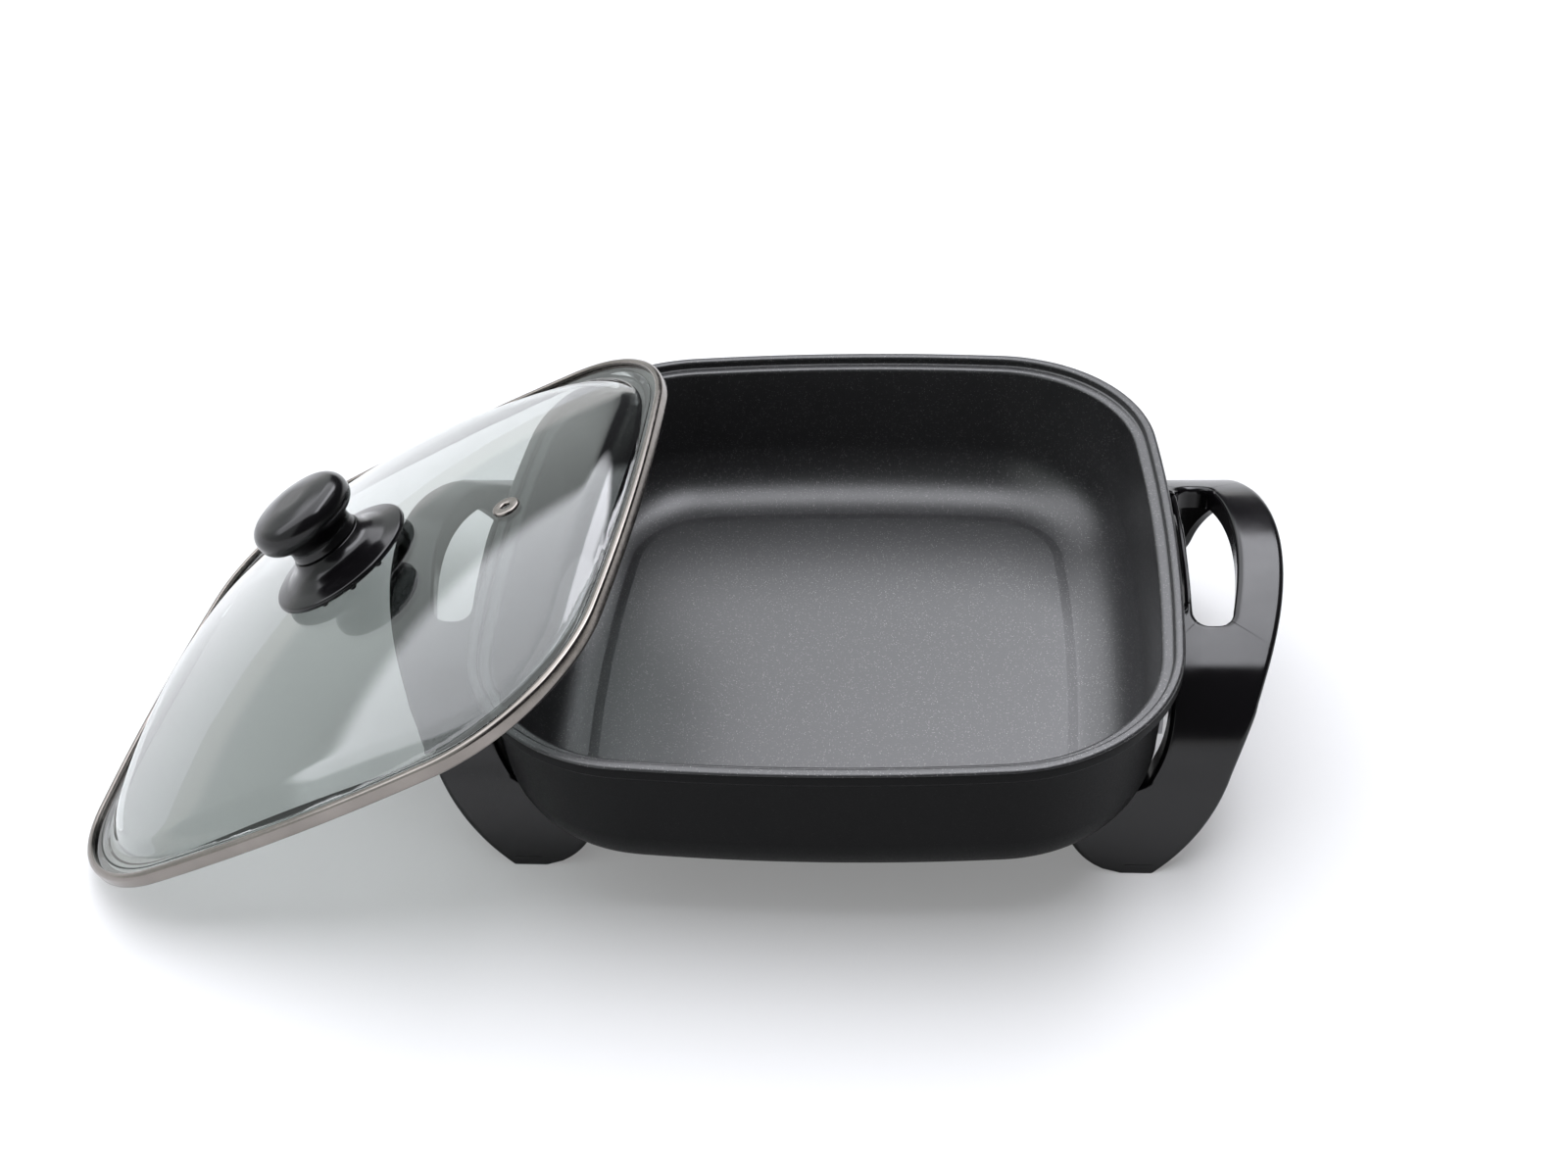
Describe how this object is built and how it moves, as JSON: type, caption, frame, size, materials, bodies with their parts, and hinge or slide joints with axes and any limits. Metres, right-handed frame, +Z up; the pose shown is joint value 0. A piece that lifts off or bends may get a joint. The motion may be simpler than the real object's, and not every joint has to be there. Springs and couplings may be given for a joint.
{
  "type": "electric skillet",
  "caption": "Square deep electric frying pan on two one-piece handle-and-leg mouldings, its domed glass lid with steel band and black knob taken off and leaning on one handle.",
  "frame": {"origin": "under the middle of the pan, on the surface that the feet stand on", "axes": "+X from the handle that carries the lid towards the other handle, +Y away from the viewer, +Z up"},
  "size_m": [0.5464, 0.3141, 0.1455],
  "materials": {
    "pan_coating": "cast aluminium with a dark satin non-stick coating",
    "black_phenolic": "glossy",
    "zinc_steel": "satin",
    "element_sheath": "satin",
    "pin_metal": "polished",
    "white_ceramic": "glazed",
    "sleeve_metal": "satin",
    "guard_steel": "satin",
    "lid_glass": "clear, tempered",
    "polished_steel": "polished",
    "silicone": "matt",
    "brass": "satin"
  },
  "bodies": {
    "skillet": {"pan": "pan_coating", "heating_element": "element_sheath", "terminal_pin_front": "pin_metal", "terminal_pin_back": "pin_metal", "insulator_front": "white_ceramic", "insulator_back": "white_ceramic", "probe_sleeve": "sleeve_metal", "inlet_guard": "guard_steel", "guard_screw_front": "zinc_steel", "guard_screw_back": "zinc_steel", "spacer_front_right": "zinc_steel", "handle_screw_front_right": "zinc_steel", "spacer_back_right": "zinc_steel", "handle_screw_back_right": "zinc_steel", "spacer_front_left": "zinc_steel", "handle_screw_front_left": "zinc_steel", "spacer_back_left": "zinc_steel", "handle_screw_back_left": "zinc_steel", "handle_right": "black_phenolic", "handle_left": "black_phenolic"},
    "lid": {"lid_glass": "lid_glass", "lid_band": "polished_steel", "vent_grommet": "polished_steel", "vent_back_ring": "polished_steel", "seal_upper": "silicone", "knob_skirt": "black_phenolic", "knob_cap": "black_phenolic", "knob_insert": "brass", "seal_lower": "silicone", "steel_washer": "zinc_steel", "knob_screw": "zinc_steel"}
  },
  "joints": [
    {"name": "lid_lift", "type": "slide", "parent": "skillet", "child": "lid", "axis": [0, 0, 1], "range_m": [0, 0.2]}
  ]
}
